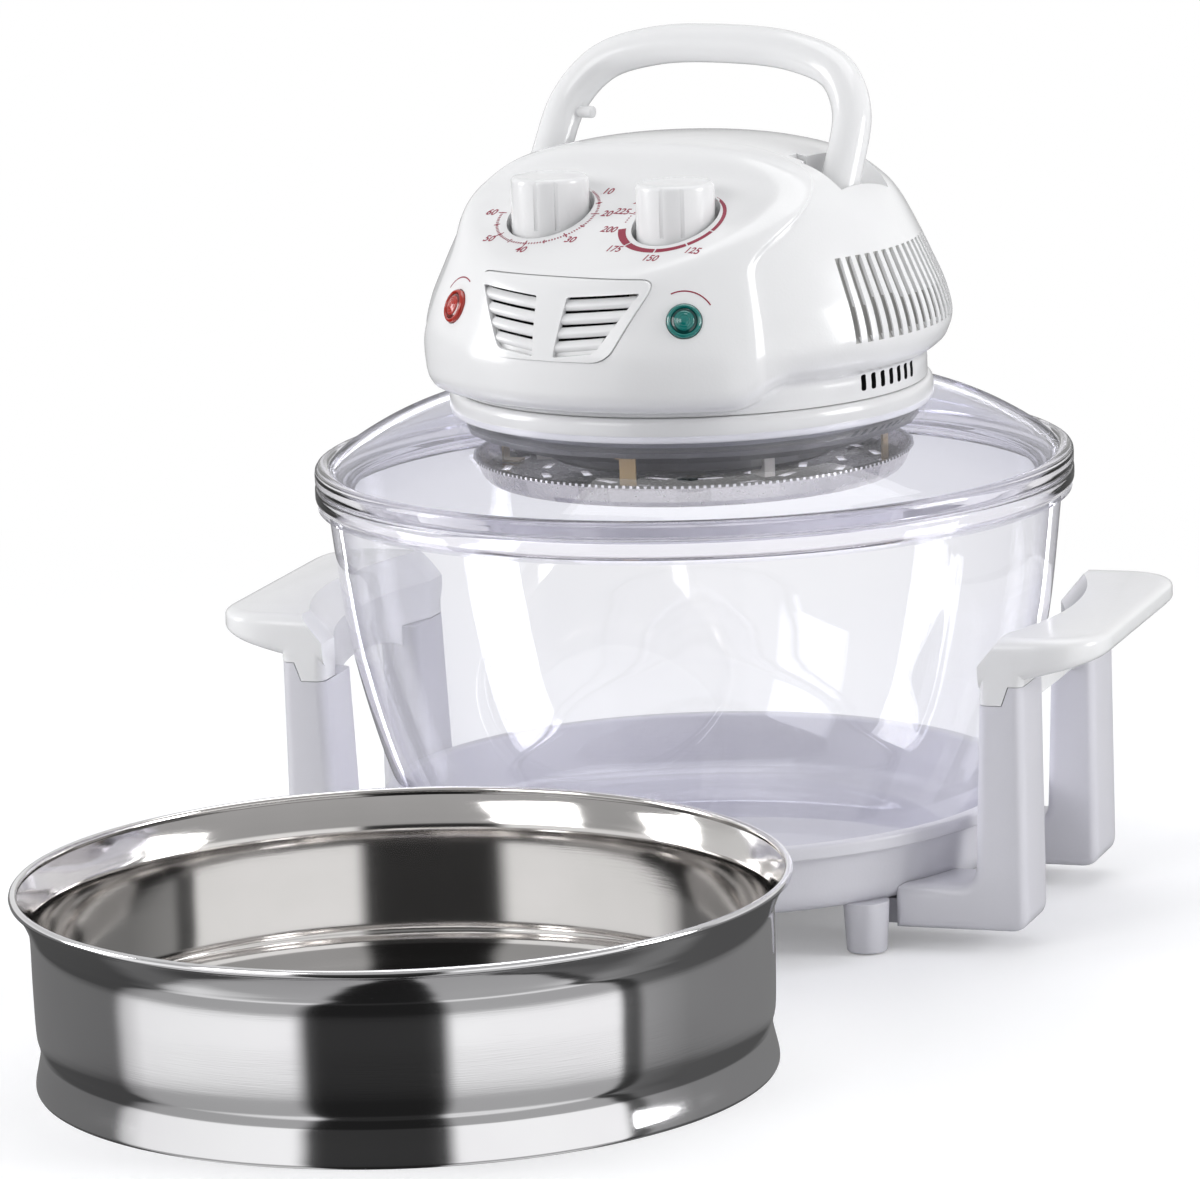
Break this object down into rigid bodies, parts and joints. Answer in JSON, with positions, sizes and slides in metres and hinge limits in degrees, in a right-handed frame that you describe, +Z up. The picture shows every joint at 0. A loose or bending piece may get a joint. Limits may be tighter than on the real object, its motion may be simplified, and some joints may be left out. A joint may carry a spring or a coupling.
{
  "type": "halogen convection oven",
  "caption": "Countertop convection oven: glass bowl in a legged holder, glass lid with a domed heater head, dials and a folding carry handle, and a loose steel extension ring.",
  "frame": {"origin": "on the table, at the centre of the box round the whole set", "axes": "+Z up, -Y towards the side where the extension ring stands, +X across the grips"},
  "size_m": [0.3978, 0.6212, 0.3805],
  "materials": {
    "glass": "clear polished glass, faint lilac tint",
    "holder_plastic": "smooth, slightly lilac white",
    "white_plastic": "gloss",
    "rubber": "matt",
    "plated_steel": "plated",
    "polished_steel": "mirror polished stainless steel",
    "tray_aluminium": "pressed, satin",
    "brass": "dull",
    "ceramic": "unglazed ceramic",
    "red_lens": "clear, coloured",
    "green_lens": "clear, coloured",
    "black_plastic": "moulded",
    "copper": "enamelled copper wire"
  },
  "bodies": {
    "holder": {"base_dish": "holder_plastic", "grip_left": "white_plastic", "grip_right": "white_plastic", "foot_pad_front_left": "rubber", "foot_pad_front_right": "rubber", "foot_pad_rear_left": "rubber", "foot_pad_rear_right": "rubber", "leg_front_left": "holder_plastic", "leg_front_right": "holder_plastic", "leg_rear_left": "holder_plastic", "leg_rear_right": "holder_plastic", "leg_screw_front_left": "plated_steel", "leg_screw_front_right": "plated_steel", "leg_screw_rear_left": "plated_steel", "leg_screw_rear_right": "plated_steel"},
    "bowl": {"glass_bowl": "glass"},
    "lid_head": {"glass_lid": "glass", "base_ring": "white_plastic", "lid_clamp_ring": "plated_steel", "motor_platform": "plated_steel", "heat_reflector": "plated_steel", "heater_tube": "plated_steel", "heater_terminal_block": "ceramic", "heater_holder_left": "ceramic", "heater_holder_right": "ceramic", "guard_tray": "tray_aluminium", "tray_strip_1": "brass", "tray_strip_2": "brass", "tray_strip_3": "brass", "tray_strip_4": "brass", "head_cover": "white_plastic", "front_grille": "white_plastic", "power_lens": "red_lens", "heat_lens": "green_lens", "power_lamp": "black_plastic", "heat_lamp": "black_plastic", "timer": "black_plastic", "thermostat": "ceramic", "handle_pin_left": "plated_steel", "handle_pin_right": "plated_steel", "motor_stator": "plated_steel", "motor_coil": "copper", "motor_bracket": "plated_steel", "safety_switch": "black_plastic", "terminal_block": "ceramic", "cord_gland": "black_plastic"},
    "carry_handle": {"carry_handle": "white_plastic"},
    "timer_dial": {"timer_knob": "white_plastic", "timer_spindle": "plated_steel"},
    "thermostat_dial": {"thermostat_knob": "white_plastic", "thermostat_spindle": "plated_steel"},
    "fan_rotor": {"motor_shaft": "plated_steel", "cooling_fan": "black_plastic", "convection_fan": "plated_steel", "fan_nut": "brass"},
    "extension_ring": {"extension_ring": "polished_steel"}
  },
  "joints": [
    {"name": "bowl_lift", "type": "slide", "parent": "holder", "child": "bowl", "axis": [0, 0, 1], "range_m": [0, 0.15]},
    {"name": "lid_lift", "type": "slide", "parent": "bowl", "child": "lid_head", "axis": [0, 0, 1], "range_m": [0, 0.12]},
    {"name": "ring_lift", "type": "slide", "parent": "holder", "child": "extension_ring", "axis": [-0.0764, -0.7029, 0.7071], "range_m": [0, 0.1]},
    {"name": "handle_swing", "type": "hinge", "parent": "lid_head", "child": "carry_handle", "pos_m": [0, 0.14558, 0.309], "axis": [0.9703, -0.2419, 0], "range_deg": [-32, 30]},
    {"name": "timer_turn", "type": "hinge", "parent": "lid_head", "child": "timer_dial", "pos_m": [-0.04474, 0.09593, 0.2954], "axis": [0, 0, 1], "range_deg": [-300, 0]},
    {"name": "thermostat_turn", "type": "hinge", "parent": "lid_head", "child": "thermostat_dial", "pos_m": [0.01619, 0.08074, 0.2954], "axis": [0, 0, 1], "range_deg": [-270, 0]},
    {"name": "fan_spin", "type": "hinge", "parent": "lid_head", "child": "fan_rotor", "pos_m": [0, 0.14558, 0.24], "axis": [0, 0, 1], "continuous": true}
  ]
}
